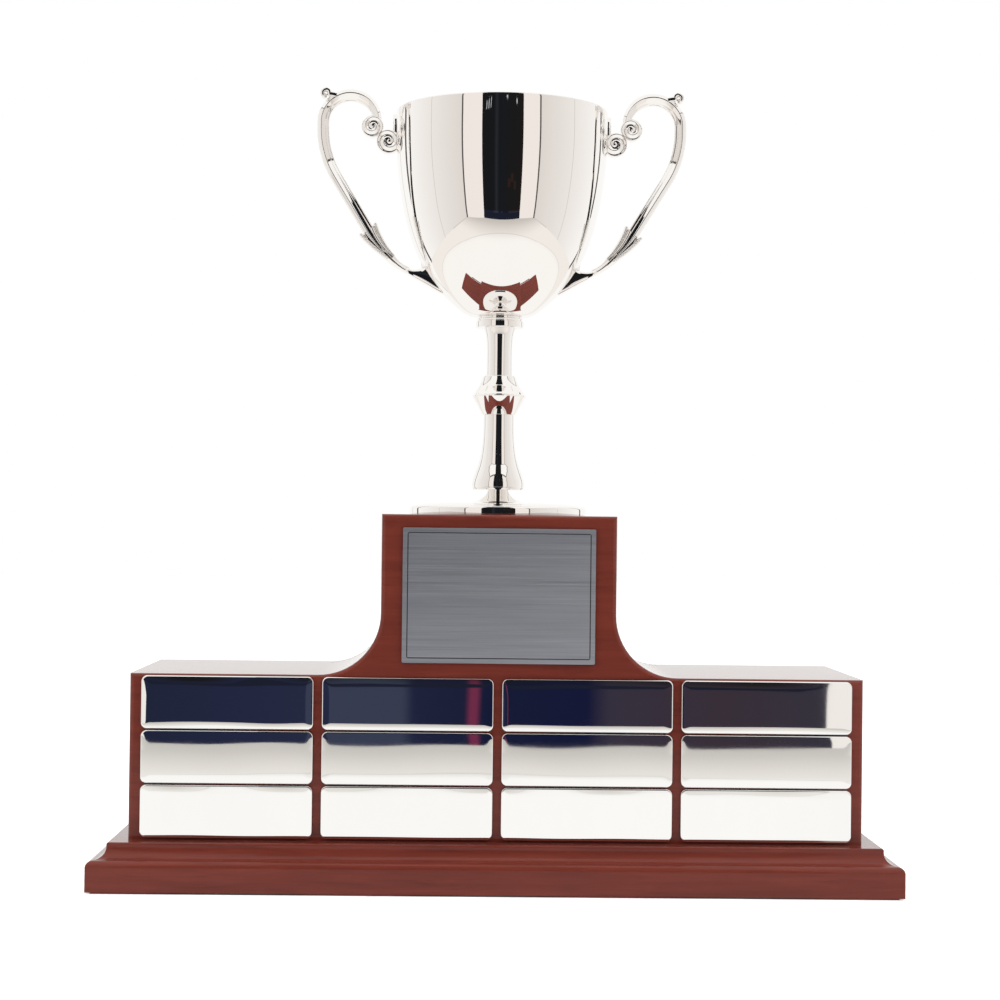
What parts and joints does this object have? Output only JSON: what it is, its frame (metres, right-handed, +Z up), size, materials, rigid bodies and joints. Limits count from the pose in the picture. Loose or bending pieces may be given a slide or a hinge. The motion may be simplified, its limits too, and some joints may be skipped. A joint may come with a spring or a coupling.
{
  "type": "cup trophy",
  "caption": "Two-handled polished cup on a stepped mahogany block with rows of domed name plates, a header plate and a moulded plinth.",
  "frame": {"origin": "middle of the underside of the felt base", "axes": "+Z up, front face with the plates towards -Y, handles along X"},
  "size_m": [0.3746, 0.146, 0.3846],
  "materials": {
    "nickel": "mirror polished",
    "foot_core": "as cast",
    "steel": "zinc plated",
    "mahogany": "satin lacquer",
    "felt": "felt",
    "mirror_plate": "mirror polished",
    "brushed_plate": "brushed",
    "adhesive": "foam pad"
  },
  "bodies": {
    "root": {"cup_bowl": "nickel", "handle_left": "nickel", "handle_right": "nickel", "stem_cap": "nickel", "stem_upper": "nickel", "stem_knop": "nickel", "stem_lower": "nickel", "cup_foot": "nickel", "foot_core": "foot_core", "tie_rod": "steel", "bowl_washer": "steel", "bowl_nut": "steel", "base_washer": "steel", "base_nut": "steel", "handle_screws": "steel", "plinth_screws": "steel", "front_board": "mahogany", "back_board": "mahogany", "end_panel_left": "mahogany", "end_panel_right": "mahogany", "shoulder_panel_left": "mahogany", "shoulder_panel_right": "mahogany", "cove_block_left": "mahogany", "cove_block_right": "mahogany", "header_side_left": "mahogany", "header_side_right": "mahogany", "top_panel": "mahogany", "base_cleat_front": "mahogany", "base_cleat_back": "mahogany", "plinth": "mahogany", "felt_base": "felt", "name_plate_1_1": "mirror_plate", "name_plate_1_2": "mirror_plate", "name_plate_1_3": "mirror_plate", "name_plate_1_4": "mirror_plate", "name_plate_2_1": "mirror_plate", "name_plate_2_2": "mirror_plate", "name_plate_2_3": "mirror_plate", "name_plate_2_4": "mirror_plate", "name_plate_3_1": "mirror_plate", "name_plate_3_2": "mirror_plate", "name_plate_3_3": "mirror_plate", "name_plate_3_4": "mirror_plate", "header_plate": "brushed_plate", "name_plate_adhesive": "adhesive", "header_plate_adhesive": "adhesive"}
  },
  "joints": []
}
